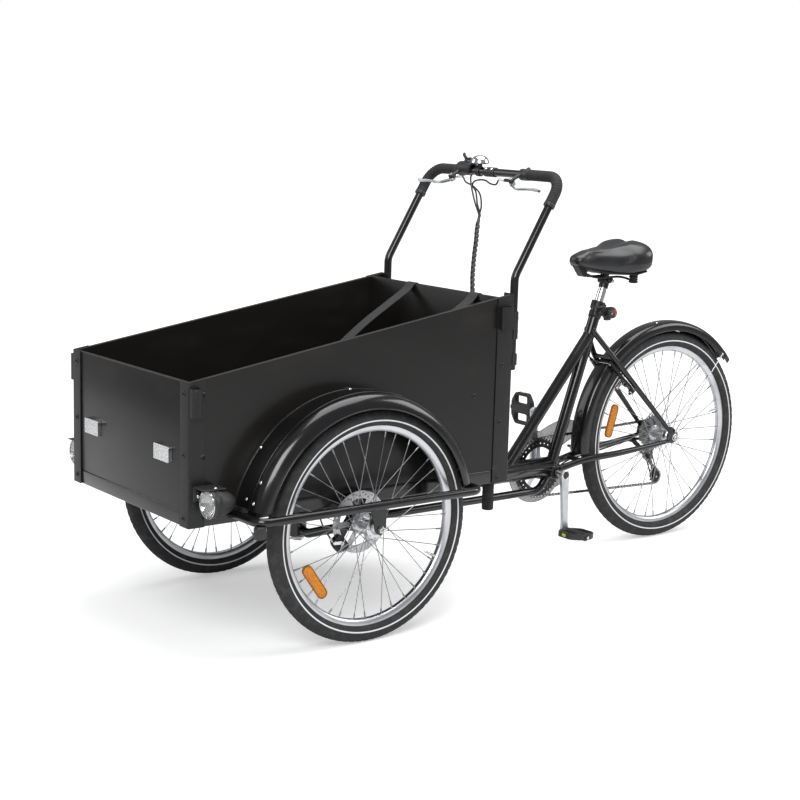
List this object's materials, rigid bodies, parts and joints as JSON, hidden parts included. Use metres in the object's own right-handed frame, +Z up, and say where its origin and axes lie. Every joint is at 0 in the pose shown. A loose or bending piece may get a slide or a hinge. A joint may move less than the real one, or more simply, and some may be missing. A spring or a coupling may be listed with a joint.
{
  "type": "cargo tricycle",
  "caption": "Front-loading cargo tricycle: open plywood box between two steered wheels, push-bar handle, chain-driven rear wheel with derailleur, padded saddle and mudguards.",
  "frame": {"origin": "middle of the bounding box, on the floor under the tyres", "axes": "+X to the rider's left, +Y backwards along the frame, +Z up"},
  "size_m": [0.8646, 2.2082, 1.1973],
  "materials": {
    "black_plastic": "black, matt",
    "black_ply": "black film-faced plywood",
    "black_rubber": "black, ribbed",
    "bright_steel": "bright",
    "cable_black": "black cable housing",
    "chain_steel": "oiled",
    "chrome": "polished",
    "crank_alloy": "forged, satin",
    "gloss_black_paint": "gloss black paint",
    "lamp_housing": "dark housing, clear lens",
    "red_lens": "red lens",
    "rim_alloy": "satin",
    "saddle_cover": "black synthetic leather",
    "satin_black_steel": "satin black coating",
    "smoke_plastic": "translucent smoke",
    "tyre_rubber": "black with a pale stripe",
    "webbing": "woven, dark grey"
  },
  "bodies": {
    "rear_frame": {"main_frame": "gloss_black_paint", "rear_fender": "gloss_black_paint", "chain_guard": "smoke_plastic", "derailleur_body": "satin_black_steel", "derailleur_cage": "satin_black_steel", "rear_light": "red_lens", "rear_cables": "cable_black", "chain": "chain_steel"},
    "carrier": {"carrier_frame": "gloss_black_paint", "kingpin": "bright_steel", "floor_panel": "black_ply", "left_panel": "black_ply", "right_panel": "black_ply", "front_panel": "black_ply", "rear_panel": "black_ply", "front_left_post": "satin_black_steel", "front_right_post": "satin_black_steel", "rear_left_post": "satin_black_steel", "rear_right_post": "satin_black_steel", "front_left_fender": "gloss_black_paint", "front_right_fender": "gloss_black_paint", "left_headlight": "lamp_housing", "right_headlight": "lamp_housing", "left_caliper": "satin_black_steel", "right_caliper": "satin_black_steel", "push_bar": "gloss_black_paint", "left_grip": "black_rubber", "right_grip": "black_rubber", "left_lever_mount": "black_plastic", "right_lever_mount": "black_plastic", "bell": "chrome", "left_strap": "webbing", "right_strap": "webbing", "control_cables": "cable_black", "cable_wrap": "black_plastic"},
    "front_left_wheel": {"front_left_tyre": "tyre_rubber", "front_left_rim": "rim_alloy", "front_left_hub": "bright_steel"},
    "front_right_wheel": {"front_right_tyre": "tyre_rubber", "front_right_rim": "rim_alloy", "front_right_hub": "bright_steel"},
    "rear_wheel": {"rear_tyre": "tyre_rubber", "rear_rim": "rim_alloy", "rear_hub": "bright_steel"},
    "cassette_body": {"cassette": "bright_steel"},
    "guide_pulley_body": {"guide_pulley": "black_plastic"},
    "tension_pulley_body": {"tension_pulley": "black_plastic"},
    "crank_body": {"left_crank": "crank_alloy", "right_crank": "crank_alloy"},
    "left_pedal_body": {"left_pedal": "black_plastic"},
    "right_pedal_body": {"right_pedal": "black_plastic"},
    "seat": {"seat_post": "chrome", "saddle": "saddle_cover", "saddle_frame": "satin_black_steel"},
    "seat_lever": {"seat_quick_release": "satin_black_steel"},
    "left_rear_brake_arm": {"left_brake_arm": "satin_black_steel"},
    "right_rear_brake_arm": {"right_brake_arm": "satin_black_steel"},
    "left_lever": {"left_brake_lever": "rim_alloy"},
    "right_lever": {"right_brake_lever": "rim_alloy"},
    "shift_lever": {"gear_lever": "black_plastic"}
  },
  "joints": [
    {"name": "steering", "type": "hinge", "parent": "rear_frame", "child": "carrier", "pos_m": [0, -0.58809, 0.203], "axis": [0, 0, 1], "range_deg": [-25, 25], "deforming": ["control_cables", "rear_cables"]},
    {"name": "front_left_wheel_spin", "type": "hinge", "parent": "carrier", "child": "front_left_wheel", "pos_m": [0.36, -0.61809, 0.29743], "axis": [1, 0, 0], "continuous": true},
    {"name": "front_right_wheel_spin", "type": "hinge", "parent": "carrier", "child": "front_right_wheel", "pos_m": [-0.36, -0.61809, 0.29743], "axis": [1, 0, 0], "continuous": true},
    {"name": "rear_wheel_spin", "type": "hinge", "parent": "rear_frame", "child": "rear_wheel", "pos_m": [0, 0.77691, 0.32718], "axis": [1, 0, 0], "continuous": true},
    {"name": "crank_spin", "type": "hinge", "parent": "rear_frame", "child": "crank_body", "pos_m": [0, 0.31391, 0.261], "axis": [1, 0, 0], "continuous": true, "deforming": ["chain"]},
    {"name": "cassette_spin", "type": "hinge", "parent": "rear_frame", "child": "cassette_body", "pos_m": [0, 0.77691, 0.32718], "axis": [1, 0, 0], "continuous": true},
    {"name": "guide_pulley_spin", "type": "hinge", "parent": "rear_frame", "child": "guide_pulley_body", "pos_m": [-0.047, 0.78091, 0.25918], "axis": [1, 0, 0], "continuous": true},
    {"name": "tension_pulley_spin", "type": "hinge", "parent": "rear_frame", "child": "tension_pulley_body", "pos_m": [-0.047, 0.81684, 0.17666], "axis": [1, 0, 0], "continuous": true},
    {"name": "left_pedal_spin", "type": "hinge", "parent": "crank_body", "child": "left_pedal_body", "pos_m": [0.134, 0.32191, 0.091], "axis": [1, 0, 0], "continuous": true},
    {"name": "right_pedal_spin", "type": "hinge", "parent": "crank_body", "child": "right_pedal_body", "pos_m": [-0.134, 0.30591, 0.431], "axis": [1, 0, 0], "continuous": true},
    {"name": "seat_height", "type": "slide", "parent": "rear_frame", "child": "seat", "axis": [0, 0.326, 0.9454], "range_m": [-0.03, 0.08]},
    {"name": "seat_release", "type": "hinge", "parent": "rear_frame", "child": "seat_lever", "pos_m": [0.02697, 0.48213, 0.74881], "axis": [0, 0.326, 0.9454], "range_deg": [0, 120]},
    {"name": "left_lever_pull", "type": "hinge", "parent": "carrier", "child": "left_lever", "pos_m": [0.122, 0.01697, 1.12515], "axis": [0, -0.475, 0.88], "range_deg": [0, 14], "stiffness_Nm_per_rad": 0.6, "springref_deg": -20.05},
    {"name": "right_lever_pull", "type": "hinge", "parent": "carrier", "child": "right_lever", "pos_m": [-0.139, 0.01697, 1.12515], "axis": [0, 0.475, -0.88], "range_deg": [0, 9], "stiffness_Nm_per_rad": 0.6, "springref_deg": -20.05},
    {"name": "left_rear_brake", "type": "hinge", "parent": "rear_frame", "child": "left_rear_brake_arm", "pos_m": [0.0515, 0.60754, 0.50141], "axis": [0, -0.717, -0.697], "range_deg": [0, 2.8]},
    {"name": "right_rear_brake", "type": "hinge", "parent": "rear_frame", "child": "right_rear_brake_arm", "pos_m": [-0.0515, 0.60754, 0.50141], "axis": [0, 0.717, 0.697], "range_deg": [0, 2.8]},
    {"name": "gear_shift", "type": "hinge", "parent": "carrier", "child": "shift_lever", "pos_m": [-0.119, 0.05745, 1.177], "axis": [0, 0, 1], "range_deg": [-30, 30]}
  ],
  "couplings": [
    {"joint": "cassette_spin", "follows": "crank_spin", "ratio": 2.4444},
    {"joint": "guide_pulley_spin", "follows": "crank_spin", "ratio": -4},
    {"joint": "tension_pulley_spin", "follows": "crank_spin", "ratio": 4},
    {"joint": "left_rear_brake", "follows": "right_lever_pull", "ratio": 0.3},
    {"joint": "right_rear_brake", "follows": "right_lever_pull", "ratio": 0.3}
  ]
}
